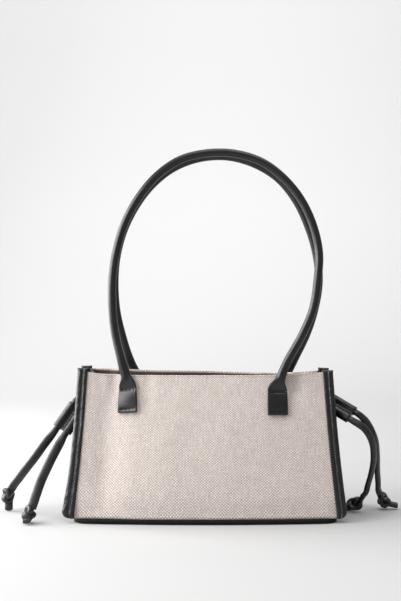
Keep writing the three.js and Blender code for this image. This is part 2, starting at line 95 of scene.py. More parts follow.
# Handles and their tabs
TAB_WIDTH = 0.0217
TAB_HEIGHT = 0.026
TAB_THICKNESS = 0.0026
TAB_CLEARANCE = 0.0008
TAB_TOP = 0.141
TAB_SPACING = 0.161
HANDLE_DIAMETER = 0.009
HANDLE_TOP = 0.4013
HANDLE_SPREAD = 0.044
HANDLE_LEAN = 0.017
HANDLE_NECK = 0.013
HANDLE_TOP_SPACING = 0.017
HANDLE_SHIFT = {"handle_front": -0.003, "handle_back": 0.0047}
HANDLE_FLARE = {-1: 0.28, 1: 0.14}
HANDLE_FLARE_LENGTH = 0.045
TAB_DROP = {-1: 0.0, 1: 0.0024}
TAB_PUFF = 0.0011
TAB_GROOVE = 0.0009
TAB_TOP_NARROWING = {-1: 0.0011, 1: 0.0003}
TAB_ROWS = (0.0036, 0.0238)

# Drawcords. WIDE, THICK and TIGHT are half widths of the flattened cord and knot, and CORD_SEAM is the
# place of the cord's seam, as a share of its half width.
CORD_DIAMETER = 0.007
CORD_WIDE = 0.005
CORD_THICK = 0.0028
CORD_TIGHT = 0.0036
CORD_SEAM = 0.55
KNOT_WIDE = 0.0045
KNOT_THICK = 0.0026
HOLE_RADIUS = CORD_DIAMETER / 2 + 0.001
HOLE_HEIGHT = 0.133
HOLE_SPACING = 0.023
SLIDER_LENGTH = 0.031
SLIDER_SPACING = 0.0126
SLIDER_PINCH = 0.0015
SLIDER_WALL = 0.00195
KNOT_DIAMETER = 0.016
TAIL_INSIDE = 0.007
HOLE_LEAD = 0.004
LOOP_LEAD = 0.005
CHANNEL_LEAD = 0.0045
CHANNEL_EXIT = 0.005
KNOT_ENTRY = 0.002

# Sewing
STITCH_LENGTH = 0.0024
STITCH_PITCH = 0.0033
STITCH_RADIUS = 0.00036

# Sizes of the materials' patterns. The real yarns are finer than these, about the size of a pixel.
WARP_PITCH = 0.00162
WEFT_PITCH = 0.00136
YARN_DRIFT = 0.00476
WARP_SLUB = (0.00143, 0.0143)
WEFT_SLUB = (0.01667, 0.00125)
LEATHER_WEAR = 0.01176
LEATHER_CLOUD = 0.00385
LEATHER_CREASE = (0.00154, 0.0714)
THREAD_TWIST = 0.002
SHADED_INSIDE_CLOUD = 0.00143

# Dips of the front (-1) and back (1) rims along the width, as shares of half the top width and of RIM_DIP
RIMS = {
    -1: [
        (-0.935, 0.43), (-0.892, 0.57), (-0.827, 0.83), (-0.755, 0.94), (-0.662, 0.985), (0, 1), (0.54, 1),
        (0.662, 0.97), (0.727, 0.86), (0.791, 0.7), (0.856, 0.6), (0.935, 0.53),
    ],
    1: [
        (-0.935, 0.29), (-0.791, 0.4), (-0.683, 0.49), (-0.59, 0.6), (-0.36, 0.77), (0, 0.83), (0.216, 1.01),
        (0.432, 1.1), (0.576, 1.11), (0.791, 0.94), (0.935, 0.64),
    ],
}

# Folds of the linen: across and wide are shares of the half width, deep of the fold depth,
# from and to of the height
FOLDS = [
    {"across": -0.735, "wide": 0.115, "deep": 2.1, "from": -0.12, "to": 1.3},
    {"across": -0.32, "wide": 0.26, "deep": -0.5, "from": -0.2, "to": 1.2},
    {"across": -0.70, "wide": 0.03, "deep": 0.35, "from": 0.76, "to": 1.2},
    {"across": -0.765, "wide": 0.035, "deep": -0.3, "from": 0.7, "to": 1.2},
    {"across": -0.44, "wide": 0.04, "deep": 0.5, "from": 0.66, "to": 1.2},
    {"across": 0.69, "wide": 0.06, "deep": 1.3, "from": 0.72, "to": 1.3},
    {"across": 0.2, "wide": 0.2, "deep": -0.3, "from": 0.1, "to": 0.9},
]

# Each handle's route from its left tab to its right tab, in shares of half the tab spacing, of the
# spread beyond it and of the height above the tabs
HANDLE_ROUTES = {
    "handle_front": [
        (-1, 0, 0), (-1, -0.02, 0.03), (-1, -0.16, 0.107), (-1, -0.343, 0.226), (-1, -0.418, 0.347),
        (-1, -0.416, 0.468), (-1, -0.314, 0.588), (-1, -0.108, 0.704), (-0.96, 0.155, 0.81),
        (-0.79, 0.293, 0.903), (-0.52, 0.368, 0.971), (-0.18, 0.423, 1), (0.18, 0.469, 0.998),
        (0.52, 0.517, 0.962), (0.79, 0.57, 0.891), (0.96, 0.692, 0.797), (1, 0.906, 0.686),
        (1, 1.043, 0.568), (1, 0.993, 0.449), (1, 0.874, 0.331), (1, 0.598, 0.22), (1, 0.24, 0.113),
        (1, 0.04, 0.03), (1, 0, 0),
    ],
    "handle_back": [
        (-1, 0, 0), (-1, -0.04, 0.03), (-1, -0.185, 0.084), (-1, -0.405, 0.199), (-1, -0.564, 0.317),
        (-1, -0.613, 0.438), (-1, -0.554, 0.559), (-1, -0.366, 0.676), (-0.96, -0.12, 0.784),
        (-0.79, 0.002, 0.878), (-0.52, 0.063, 0.95), (-0.18, 0.1, 0.99), (0.18, 0.143, 0.995),
        (0.52, 0.199, 0.962), (0.79, 0.285, 0.9), (0.96, 0.42, 0.807), (1, 0.658, 0.698),
        (1, 0.873, 0.582), (1, 0.962, 0.461), (1, 0.876, 0.343), (1, 0.673, 0.227), (1, 0.363, 0.117),
        (1, 0.1, 0.03), (1, 0, 0),
    ],
}

# Each drawcord's points in millimetres, as its solids have them. The slider stands at place, along is the
# way its channels run and beside the way from one to the other. On a tail, edge and end are the wide
# directions of the cord and of its knot.
DRAWCORDS = [
    {
        "side": "left",
        "sign": -1,
        "place": (-151.8, -14, 90.7),
        "along": (-0.53, -0.3, -0.79),
        "beside": (-0.84, 0.4, 0.41),
        "tails": {
            "near": {
                "hole": -1,
                "edge": (1, 0.2, 0),
                "end": (1, 0, 0.2),
                "points": [(-164.5, -22, 68), (-171, -27, 54), (-176.5, -32, 41), (-180.5, -38.5, 28)],
                "knot": [(-183.8, -45, 16.5), (-186.5, -49.5, 8.4), (-186.8, -56.5, 5.6), (-186.8, -62, 4.2)],
            },
            "far": {
                "hole": 1,
                "edge": (1, 0.5, 0),
                "end": (1, 0.2, 0),
                "points": [(-175, -10, 79), (-187, -7, 62.5), (-198.5, -2.5, 48), (-208.5, 2.5, 35)],
                "knot": [(-215.5, 6.5, 25.5), (-220.5, 8, 17.5), (-220, 7.5, 9), (-218.8, 6.8, 1.2)],
            },
        },
    },
    {
        "side": "right",
        "sign": 1,
        "place": (156, -20, 107),
        "along": (0.79, -0.4, -0.46),
        "beside": (0.62, 0.62, 0.48),
        "tails": {
            "near": {
                "hole": -1,
                "edge": (0.75, 1, 0),
                "end": (0, 0.3, 1),
                "points": [(171.9, -25, 97.2), (180.7, -22.5, 82.9), (183.8, -16.5, 64),
                           (182.6, -9.5, 46.3), (179.5, -3, 30)],
                "knot": [(175.5, 1, 19), (167.5, 3.8, 8.6), (158.5, 4.5, 5.6), (152, 4.5, 4.2)],
            },
            "far": {
                "hole": 1,
                "edge": (0.85, 1, 0),
                "end": (0, 1, 0.4),
                "points": [(177, -14.5, 101.5), (186.5, -10.5, 82), (190, -3, 63), (192, 6.5, 44.5),
                           (194, 12, 28.5)],
                "knot": [(196.2, 15.5, 18.5), (200.2, 17, 9), (208.5, 17.2, 5.8), (216.5, 17.2, 4.2)],
            },
        },
    },
]


# Small helpers

def smooth(low, high, value):
    """Rises from 0 at low to 1 at high, without a corner at either."""
    share = min(max((value - low) / (high - low), 0), 1)
    return share * share * (3 - 2 * share)


def lerp(a, b, share):
    return a + (b - a) * share


def bell(value):
    """1 at 0, and hardly anything beyond 2."""
    return math.exp(-value * value)


def metres(point):
    return Vector(point) / 1000


def running_lengths(path):
    """The length of the path up to each of its points."""
    lengths = [0.0]
    for a, b in zip(path, path[1:]):
        lengths.append(lengths[-1] + (b - a).length)
    return lengths


def curve_through(points, count):
    """Evenly spaced points on the centripetal curve through the given points."""
    knots = [2 * points[0] - points[1], *points, 2 * points[-1] - points[-2]]
    fine = []
    for a, b, c, d in zip(knots, knots[1:], knots[2:], knots[3:]):
        t1 = (b - a).length ** 0.5
        t2 = t1 + (c - b).length ** 0.5
        t3 = t2 + (d - c).length ** 0.5
        for k in range(16):
            t = lerp(t1, t2, k / 16)
            ab = a.lerp(b, t / t1)
            bc = b.lerp(c, (t - t1) / (t2 - t1))
            cd = c.lerp(d, (t - t2) / (t3 - t2))
            before = ab.lerp(bc, t / t2)
            after = bc.lerp(cd, (t - t1) / (t3 - t1))
            fine.append(before.lerp(after, (t - t1) / (t2 - t1)))
    fine.append(points[-1].copy())
    lengths = running_lengths(fine)
    even = []
    k = 0
    for n in range(count):
        want = lengths[-1] * n / (count - 1)
        while k < len(fine) - 2 and lengths[k + 1] < want:
            k += 1
        share = (want - lengths[k]) / max(lengths[k + 1] - lengths[k], 1e-9)
        even.append(fine[k].lerp(fine[k + 1], min(share, 1)))
    return even


def add_object(name, bm):
    """Makes a smoothly shaded mesh object of a bmesh."""
    for face in bm.faces:
        face.smooth = True
    mesh = bpy.data.meshes.new(name)
    bm.to_mesh(mesh)
    bm.free()
    made = bpy.data.objects.new(name, mesh)
    bpy.context.scene.collection.objects.link(made)
    return made


def finish_piece(name, bm, material, replaced=(), levels=0, second=None):
    """Makes a piece of a bmesh, rides it on the bag and hides the parts that it replaces."""
    piece = add_object(name, bm)
    piece.data.materials.append(material)
    if second:
        piece.data.materials.append(second)
    if levels:
        subsurf = piece.modifiers.new("smooth form", "SUBSURF")
        subsurf.levels = levels
        subsurf.render_levels = levels
    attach(piece, "root")
    if replaced:
        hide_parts(*replaced)
    return piece


def draped_grid(columns, rows, place, width, height):
    """A grid whose vertices move to place(across, up). Its UV map is in metres."""
    bm = bmesh.new()
    uv_layer = bm.loops.layers.uv.new("cloth")
    bmesh.ops.create_grid(bm, x_segments=columns, y_segments=rows, size=0.5)
    for face in bm.faces:
        for loop in face.loops:
            loop[uv_layer].uv = ((loop.vert.co.x + 0.5) * width, (loop.vert.co.y + 0.5) * height)
    for vert in bm.verts:
        vert.co = place(vert.co.x + 0.5, vert.co.y + 0.5)
    bm.normal_update()
    return bm


def give_wall(bm, thickness, outward):
    """Turns the faces outwards and gives the sheet its thickness on the inner side."""
    facing = sum((face.normal.dot(outward(face.calc_center_median())) for face in bm.faces), 0.0)
    if facing < 0:
        bmesh.ops.reverse_faces(bm, faces=bm.faces)
        bm.normal_update()
    bmesh.ops.solidify(bm, geom=bm.faces, thickness=thickness)
    bmesh.ops.recalc_face_normals(bm, faces=bm.faces)


def nearest(path, spot):
    """The number of the path's point that is nearest to a spot."""
    return min(range(len(path)), key=lambda k: (path[k] - spot).length)


def tube_axes(path, lengthways):
    """The wide and the thick direction at each point of a path, carried back from its end untwisted."""
    last = len(path) - 1
    side_axis = None if callable(lengthways) else Vector(lengthways)
    axes = []
    for k in range(last, -1, -1):
        tangent = (path[min(k + 1, last)] - path[max(k - 1, 0)]).normalized()
        if callable(lengthways):
            side_axis = lengthways(k)
        side_axis = (side_axis - tangent * side_axis.dot(tangent)).normalized()
        axes.insert(0, (side_axis, tangent.cross(side_axis)))
    return axes


def swept_tube(path, section, sides, lengthways):
    """A tube with closed ends along a path. section(k, turn) gives its radii as a pair."""
    last = len(path) - 1
    axes = tube_axes(path, lengthways)

    def place(across, up):
        k = round(up * last)
        wide, thick = axes[k]
        a, b = section(k, 2 * math.pi * (round(across * sides) % sides) / sides)
        return path[k] + wide * a + thick * b

    bm = draped_grid(sides, last, place, math.pi * CORD_DIAMETER, last)
    travelled = running_lengths(path)
    uv_layer = bm.loops.layers.uv.active
    for face in bm.faces:
        for loop in face.loops:
            loop[uv_layer].uv.y = travelled[round(loop[uv_layer].uv.y)]
    bmesh.ops.remove_doubles(bm, verts=bm.verts, dist=0.000001)
    bmesh.ops.holes_fill(bm, edges=[edge for edge in bm.edges if edge.is_boundary], sides=0)
    bmesh.ops.recalc_face_normals(bm, faces=bm.faces)
    return bm


def stitch_row(bm, path, normal, pitch=STITCH_PITCH, length=STITCH_LENGTH, radius=STITCH_RADIUS):
    """Adds a row of small sewn stitches along a path, half sunk in what they hold."""
    count = max(int(running_lengths(path)[-1] / pitch), 1)
    spots = curve_through(path, 2 * count + 1)
    for n in range(count):
        middle = spots[2 * n + 1]
        run = (spots[2 * n + 2] - spots[2 * n]).normalized()
        out = normal(middle)
        out = (out - run * out.dot(run)).normalized()
        aside = run.cross(out)
        turn = Matrix((run, aside, out)).transposed().to_4x4()
        size = Matrix.Diagonal((length / 2, radius, radius * 0.9, 1))
        bmesh.ops.create_icosphere(bm, subdivisions=1, radius=1.06,
                                   matrix=Matrix.Translation(middle + out * radius * 0.25) @ turn @ size)


# The body's form

PANEL_FOOT = BASE_THICKNESS + GAP
PANEL_HEIGHT = CORNER_HEIGHT - PANEL_FOOT


def outer_half_width(up):
    """Half the body's width at a share up of its height, over the bindings."""
    return lerp(BASE_WIDTH, TOP_WIDTH, up) / 2 - SIDE_BOW * math.sin(math.pi * up)


def seam_half_width(up):
    """Half the width between the bindings."""
    return outer_half_width(up) - BINDING_WIDTH


def rim_height(side, x):
    """The height of a panel's upper edge at a place along the width."""
    rim = RIMS[side]
    place = min(max(x / (TOP_WIDTH / 2), rim[0][0]), rim[-1][0])
    for (start, dip), (end, next_dip) in zip(rim, rim[1:]):
        if place <= end:
            return CORNER_HEIGHT - RIM_DIP * lerp(dip, next_dip, (place - start) / (end - start))


def panel_out(across, up):
    """How far a panel's outer face stands from the middle plane, with its bow, belly and folds."""
    bow = 1 - across * across
    foot = BASE_DEPTH / 2 + BASE_BOW * bow
    mouth = MOUTH_DEPTH / 2 + MOUTH_BOW * bow
    out = lerp(foot, mouth, up) + BELLY * math.sin(math.pi * up) * bow
    seam_share = seam_half_width(up) / outer_half_width(up)
    fade = 1 - smooth(seam_share - FOLD_FADE, seam_share, abs(across))
    for fold in FOLDS:
        near = bell((across - fold["across"]) / fold["wide"])
        middle = (fold["from"] + fold["to"]) / 2
        reach = (fold["to"] - fold["from"]) / 2
        height = 1 - smooth(0.4, 1, abs(up - middle) / reach)
        out -= FOLD_DEPTH * fold["deep"] * near * height * fade
    return out


def panel_point(side, x, z):
    """A point on a panel's outer face. The back has the front's folds, turned round."""
    up = (z - PANEL_FOOT) / PANEL_HEIGHT
    across = x / outer_half_width(up)
    return Vector((x, side * panel_out(across if side < 0 else -across, up), z))


def panel_slope(side, x, z):
    """The panel's turn away from the width direction, over the width of a tab."""
    reach = TAB_WIDTH / 2
    return (panel_point(side, x + reach, z).y - panel_point(side, x - reach, z).y) / TAB_WIDTH


def gusset_reach(up):
    """Half the gusset's depth: what the panels leave clear at their seams."""
    clear = LINEN_THICKNESS + 2 * GAP + LEATHER_THICKNESS
    return panel_out(seam_half_width(up) / outer_half_width(up), up) - clear


def gusset_point(sign, along, up):
    """A gusset's outer face: flat at its foot and folded inwards in a V at the mouth."""
    z = PANEL_FOOT + up * PANEL_HEIGHT
    edge = seam_half_width(up) + GUSSET_THICKNESS
    rounding = math.hypot(1, GUSSET_FOLD_ROUND)
    rise = rounding - math.hypot(min(abs(along), 1), GUSSET_FOLD_ROUND)
    valley = (rise / (rounding - GUSSET_FOLD_ROUND)) ** GUSSET_FOLD_EASE
    fold = GUSSET_FOLD * valley * smooth(GUSSET_FOLD_START, 1.05, up)
    return Vector((sign * (edge - fold), along * gusset_reach(up), z))


def hole_point(sign, hole, inside):
    """A point on the axis of a cord hole, at a distance inside the gusset."""
    up = (HOLE_HEIGHT - PANEL_FOOT) / PANEL_HEIGHT
    wall = abs(gusset_point(sign, HOLE_SPACING / 2 / gusset_reach(up), up).x)
    return Vector((sign * (wall - inside), hole * HOLE_SPACING / 2, HOLE_HEIGHT))


# Materials

def linear(code):
    """sRGB hex to linear colour."""
    parts = [int(code[i:i + 2], 16) / 255 for i in (1, 3, 5)]
    return [p / 12.92 if p <= 0.04045 else ((p + 0.055) / 1.055) ** 2.4 for p in parts] + [1.0]


def add_node(tree, kind, links=None, **settings):
    """Adds a node with its settings, and links or values for its inputs.

    A mix node's inputs go by number: 0 is the factor, 2 and 3 are values, 4 and 5 vectors, 6 and 7 colours.
    """
    node = tree.nodes.new(kind)
    for key, value in settings.items():
        setattr(node, key, value)
    for socket, source in (links or {}).items():
        if isinstance(source, bpy.types.NodeSocket):
            tree.links.new(source, node.inputs[socket])
        else:
            node.inputs[socket].default_value = source
    return node


def per_metre(sizes):
    """The mapping scale of a pattern with the given sizes across and along."""
    return 1 / sizes[0], 1 / sizes[1], 1


def new_material(name):
    material = bpy.data.materials.new(name)
    material.use_nodes = True
    tree = material.node_tree
    tree.nodes.clear()
    return material, tree


def woven_linen():
    """Undyed linen canvas in plain weave, matte, with slubs: pale warp over a weft whose darker tone is
    partly its own colour and partly painted shade, and gaps painted darker as shade.
    """
    material, tree = new_material("woven oatmeal linen")
    uv = add_node(tree, "ShaderNodeTexCoord").outputs["UV"]
    drift = add_node(tree, "ShaderNodeTexNoise", {"Vector": uv, "Scale": 1 / YARN_DRIFT, "Detail": 3.0})
    # The yarns wander by some tenths of a millimetre
    wavy = add_node(tree, "ShaderNodeMix", {0: 0.0021, 4: uv, 5: drift.outputs["Color"]}, data_type="VECTOR")
    cells = add_node(tree, "ShaderNodeMapping", {"Vector": wavy.outputs[1],
                                                 "Scale": per_metre((WARP_PITCH, WEFT_PITCH))})
    over = add_node(tree, "ShaderNodeTexChecker", {"Vector": cells.outputs["Vector"], "Scale": 1.0,
                                                   "Color1": (1, 1, 1, 1), "Color2": (0, 0, 0, 1)})
    # At scale 1 a band of the wave texture is 0.1 pi units wide, and this scale makes it one yarn
    wave = math.pi / 10
    across = add_node(tree, "ShaderNodeTexWave", {"Vector": cells.outputs["Vector"], "Scale": wave},
                      bands_direction="X")
    along = add_node(tree, "ShaderNodeTexWave", {"Vector": cells.outputs["Vector"], "Scale": wave},
                     bands_direction="Y")
    round_yarn = add_node(tree, "ShaderNodeMath", {0: across.outputs["Fac"], 1: along.outputs["Fac"]},
                          operation="MAXIMUM")
    long_slub = add_node(tree, "ShaderNodeMapping", {"Vector": uv, "Scale": per_metre(WARP_SLUB)})
    warp_slub = add_node(tree, "ShaderNodeTexNoise", {"Vector": long_slub.outputs["Vector"], "Scale": 1.0,
                                                      "Detail": 3.0})
    wide_slub = add_node(tree, "ShaderNodeMapping", {"Vector": uv, "Scale": per_metre(WEFT_SLUB)})
    weft_slub = add_node(tree, "ShaderNodeTexNoise", {"Vector": wide_slub.outputs["Vector"], "Scale": 1.0,
                                                      "Detail": 3.0})
    slub = add_node(tree, "ShaderNodeMix", {0: over.outputs["Fac"], 2: weft_slub.outputs["Fac"],
                                            3: warp_slub.outputs["Fac"]})
    # The weft's darker tone is partly the yarn's own colour and partly painted shade of the lower yarn under
    # side light
    yarn = add_node(tree, "ShaderNodeMix", {0: over.outputs["Fac"], 6: linear("#b2a298"),
                                            7: linear("#e0d9d6")}, data_type="RGBA")
    tone = add_node(tree, "ShaderNodeMapRange", {"Value": slub.outputs[0], "From Min": 0.3, "From Max": 0.7,
                                                 "To Min": 0.78, "To Max": 1.15})
    # The gaps between the yarns are painted darker: painted shade in the weave's hollows
    painted_gap_shade = add_node(tree, "ShaderNodeMapRange", {"Value": round_yarn.outputs[0], "From Min": 0.0,
                                                "From Max": 0.45, "To Min": 0.55, "To Max": 1.0})
    shade = add_node(tree, "ShaderNodeMath", {0: tone.outputs["Result"], 1: painted_gap_shade.outputs["Result"]},
                     operation="MULTIPLY")
    colour = add_node(tree, "ShaderNodeVectorMath", {0: yarn.outputs[2], 3: shade.outputs[0]},
                      operation="SCALE")
    relief = add_node(tree, "ShaderNodeMath", {0: round_yarn.outputs[0], 1: slub.outputs[0]},
                      operation="MULTIPLY")
    bump = add_node(tree, "ShaderNodeBump", {"Height": relief.outputs[0], "Strength": 0.6,
                                             "Distance": 0.0005})
    shader = add_node(tree, "ShaderNodeBsdfPrincipled", {
        "Base Color": colour.outputs[0], "Normal": bump.outputs["Normal"], "Roughness": 0.9,
        "Sheen Weight": 0.15, "Sheen Roughness": 0.5, "Specular IOR Level": 0.2})
    add_node(tree, "ShaderNodeOutputMaterial", {"Surface": shader.outputs["BSDF"]})
    return material


def black_leather(name, roughness, grain, dark="#0b0a0b", light="#181718", specular=0.5, rolled=False):
    """Pigmented calf leather with a satin coat: fine pebbled grain and slightly paler wear.

    Rolled leather has fine creases along its length.
    """
    material, tree = new_material(name)
    place = add_node(tree, "ShaderNodeTexCoord").outputs["Object"]
    cells = add_node(tree, "ShaderNodeTexVoronoi", {"Vector": place, "Scale": 1 / grain,
                                                    "Randomness": 1.0}, feature="SMOOTH_F1")
    cloud = add_node(tree, "ShaderNodeTexNoise", {"Vector": place, "Scale": 1 / LEATHER_WEAR, "Detail": 3.0})
    fine = add_node(tree, "ShaderNodeTexNoise", {"Vector": place, "Scale": 1 / LEATHER_CLOUD, "Detail": 4.0})
    ramp = add_node(tree, "ShaderNodeValToRGB", {"Fac": cloud.outputs["Fac"]})
    ramp.color_ramp.elements[0].position = 0.3
    ramp.color_ramp.elements[0].color = linear(dark)
    ramp.color_ramp.elements[1].position = 0.75
    ramp.color_ramp.elements[1].color = linear(light)
    shine = add_node(tree, "ShaderNodeMapRange", {"Value": fine.outputs["Fac"], "To Min": roughness - 0.07,
                                                  "To Max": roughness + 0.1})
    relief = add_node(tree, "ShaderNodeMix", {0: 0.45, 2: cells.outputs["Distance"], 3: fine.outputs["Fac"]})
    folds = cloud
    fold_height = 0.004
    if rolled:
        uv = add_node(tree, "ShaderNodeTexCoord").outputs["UV"]
        long = add_node(tree, "ShaderNodeMapping", {"Vector": uv, "Scale": per_metre(LEATHER_CREASE)})
        folds = add_node(tree, "ShaderNodeTexNoise", {"Vector": long.outputs["Vector"], "Scale": 1.0,
                                                      "Detail": 2.0})
        fold_height = 0.001
    creases = add_node(tree, "ShaderNodeBump", {"Height": folds.outputs["Fac"], "Strength": 0.3,
                                                "Distance": fold_height})
    bump = add_node(tree, "ShaderNodeBump", {"Height": relief.outputs[0], "Strength": 0.2,
                                             "Distance": 0.0005, "Normal": creases.outputs["Normal"]})
    shader = add_node(tree, "ShaderNodeBsdfPrincipled", {
        "Base Color": ramp.outputs["Color"], "Roughness": shine.outputs["Result"],
        "Normal": bump.outputs["Normal"], "IOR": 1.5, "Specular IOR Level": specular})
    add_node(tree, "ShaderNodeOutputMaterial", {"Surface": shader.outputs["BSDF"]})
    return material


def thread(name, dark, light):
    """Waxed sewing thread: a twisted strand, seen as fine slanted stripes."""
    material, tree = new_material(name)
    place = add_node(tree, "ShaderNodeTexCoord").outputs["Object"]
    twist = add_node(tree, "ShaderNodeTexWave", {"Vector": place, "Scale": 1 / THREAD_TWIST,
                                                 "Distortion": 2.0}, bands_direction="DIAGONAL")
    ramp = add_node(tree, "ShaderNodeValToRGB", {"Fac": twist.outputs["Fac"]})
    ramp.color_ramp.elements[0].color = linear(dark)
    ramp.color_ramp.elements[1].color = linear(light)
    shader = add_node(tree, "ShaderNodeBsdfPrincipled", {
        "Base Color": ramp.outputs["Color"], "Roughness": 0.8, "Specular IOR Level": 0.2})
    add_node(tree, "ShaderNodeOutputMaterial", {"Surface": shader.outputs["BSDF"]})
    return material


def shaded_inside():
    """The panels' inner faces below the hem, painted dark brown-grey as the shade inside the bag: plain and
    matte, with a soft cloudy weave too fine to count.
    """
    material, tree = new_material("inside painted dark as shade")
    place = add_node(tree, "ShaderNodeTexCoord").outputs["Object"]
    cloud = add_node(tree, "ShaderNodeTexNoise", {"Vector": place, "Scale": 1 / SHADED_INSIDE_CLOUD, "Detail": 2.0})
    ramp = add_node(tree, "ShaderNodeValToRGB", {"Fac": cloud.outputs["Fac"]})
    ramp.color_ramp.elements[0].color = linear("#4b403b")
    ramp.color_ramp.elements[1].color = linear("#7d6f68")
    shader = add_node(tree, "ShaderNodeBsdfPrincipled", {"Base Color": ramp.outputs["Color"],
                                                         "Roughness": 0.95})
    add_node(tree, "ShaderNodeOutputMaterial", {"Surface": shader.outputs["BSDF"]})
    return material


LINEN = woven_linen()
SHADED_INSIDE = shaded_inside()
LEATHER = black_leather("satin black calf leather", 0.31, 0.0009)
# A paler copy of the black leather: painted light on the left cord, which faces the lamps
LIT_CORD_LEATHER = black_leather("folded black leather cord, paler as painted light", 0.4, 0.0007, "#181718", "#2b292b")
# A darker copy of the leather for the base: painted shade under the bag
SHADED_BASE_LEATHER = black_leather("matte black base leather, darker as painted shade", 0.6, 0.0009, "#050505", "#0a0a0a", 0.2)
HANDLE_LEATHER = black_leather("rolled black calf leather", 0.31, 0.0009, rolled=True)
BLACK_THREAD = thread("matte black thread", "#030303", "#0a0a0a")
# Black thread painted pale grey: painted glints on the stitches of the cords and the bindings
GLINT_GREY_THREAD = thread("black thread painted grey as glints", "#4c494b", "#7c787a")
LINEN_THREAD = thread("linen sewing thread", "#77695f", "#a0928a")


# Camera at the photo's angle: level, 1 m from the front of the base

PHOTO_HEIGHT = 601
FOCAL_PIXELS = 957
SENSOR = 36.0

camera_data = bpy.data.cameras.new("camera")
camera_data.sensor_width = SENSOR
camera_data.lens = SENSOR * FOCAL_PIXELS / PHOTO_HEIGHT
camera_data.clip_start = 0.01
camera = bpy.data.objects.new("camera", camera_data)
camera.location = (-0.0052, -1.060, 0.235)
camera.rotation_euler = (math.pi / 2, 0, 0)
bpy.context.scene.collection.objects.link(camera)
bpy.context.scene.camera = camera


# Drawcords, sliders and knots

def slider_axes(drawcord):
    """The slider's directions: along its channels, from one to the other, and out of its face."""
    along = Vector(drawcord["along"]).normalized()
    face = along.cross(Vector(drawcord["beside"])).normalized()
    return along, face.cross(along).normalized(), face


def channel_end(drawcord, far, lower):
    """The middle of a channel's lower or upper end."""
    along, beside, _ = slider_axes(drawcord)
    point = metres(drawcord["place"])
    if far:
        point += beside * SLIDER_SPACING
    if not lower:
        point -= along * SLIDER_LENGTH
    return point


def flat_oval(wide, thick, turn):
    """A point on an oval whose broad faces are rather flat."""
    return wide * math.cos(turn), thick * math.copysign(abs(math.sin(turn)) ** 0.8, math.sin(turn))


def tail_section(leaves):
    """A folded strap, squeezed round in its slider and flat past station leaves, thinner at its sewn edge."""
    def section(k, turn):
        free = smooth(leaves, leaves + 9, k)
        wide = lerp(CORD_TIGHT, CORD_WIDE, free)
        a, b = flat_oval(wide, lerp(CORD_TIGHT * 0.9, CORD_THICK, free), turn)
        b *= 1 - 0.4 * bell((a / wide - CORD_SEAM) / 0.13)
        b *= lerp(1, 0.75, smooth(wide * CORD_SEAM, wide, a))
        return a, b
    return section


def tail_path(drawcord, name):
    """A tail's route: out of its hole, through its channel and down to its knot."""
    tail = drawcord["tails"][name]
    sign = drawcord["sign"]
    along, _, _ = slider_axes(drawcord)
    far = name == "far"
    upper = channel_end(drawcord, far, False)
    lower = channel_end(drawcord, far, True)
    knot = [metres(p) for p in tail["knot"]]
    entry = (knot[1] - knot[0]).normalized()
    points = [
        hole_point(sign, tail["hole"], TAIL_INSIDE),
        hole_point(sign, tail["hole"], TAIL_INSIDE * 0.5),
        hole_point(sign, tail["hole"], -HOLE_LEAD),
        upper - along * CHANNEL_LEAD,
        *[upper.lerp(lower, share) for share in (0, 0.12, 0.37, 0.63, 0.88, 1)],
        lower + along * CHANNEL_EXIT,
        *[metres(p) for p in tail["points"]],
        knot[0] - entry * CHANNEL_LEAD,
        knot[0] + entry * KNOT_ENTRY,
    ]
    return curve_through(points, 90)


def knot_path(knot):
    """The route of an overhand knot: in along the cord, once round and through itself, out to its end."""
    points = [metres(p) for p in knot]
    centre = points[1]
    run = (points[2] - points[0]).normalized()
    lift = Vector((0, 0, 1)) if abs(run.z) < 0.8 else Vector((0, -1, 0))
    aside = run.cross(lift).normalized()
    lift = aside.cross(run)
    # An overhand knot is a trefoil that is open at its joint. This one is 7.6 units wide with its cord.
    size = KNOT_DIAMETER / 7.6
    joint = 0.5
    route = []
    points_round = 15
    for k in range(points_round):
        t = math.pi + joint + 2 * (math.pi - joint) * k / (points_round - 1)
        x = math.sin(t) + 2 * math.sin(2 * t)
        y = math.cos(t) - 2 * math.cos(2 * t)
        z = -math.sin(3 * t)
        route.append(centre + run * x * size + lift * (y + 0.4) * size * 0.9 + aside * z * size * 1.25)
    start = points[0]
    return curve_through([start, start.lerp(route[0], 0.5) - aside * size * 0.6, *route,
                          route[-1].lerp(points[3], 0.45) + aside * size * 0.5, points[3]], 110)


def make_knot(side, name, tail, leather):
    """An overhand knot that stays above the floor."""
    route = knot_path(tail["knot"])
    upright = abs(Vector(tail["end"]).normalized().z)
    lowest = lerp(KNOT_THICK, KNOT_WIDE, upright) + 0.0004
    for point in route:
        point.z = max(point.z, lowest)
    bm = swept_tube(route, lambda _, turn: flat_oval(KNOT_WIDE, KNOT_THICK, turn), 18, tail["end"])
    return finish_piece(f"overhand_knot_{side}_{name}", bm, leather,
                        [f"knot_{side}_{name}"], levels=1)


def make_loop(side, sign, leather):
    """The cord inside the bag, from one hole round to the other."""
    reach = HOLE_SPACING / 2
    arc = []
    for k in range(7):
        turn = math.pi * (k / 6 - 0.5)
        point = hole_point(sign, 0, TAIL_INSIDE + GAP + LOOP_LEAD)
        arc.append(Vector((point.x - sign * reach * math.cos(turn), reach * math.sin(turn), point.z)))
    inner = [hole_point(sign, -1, TAIL_INSIDE + GAP), *arc, hole_point(sign, 1, TAIL_INSIDE + GAP)]
    bm = swept_tube(curve_through(inner, 40), lambda _, turn: flat_oval(CORD_WIDE, CORD_THICK, turn), 16,
                    (0, 0, 1))
    return finish_piece(f"cord_loop_{side}", bm, leather, [f"loop_{side}"])


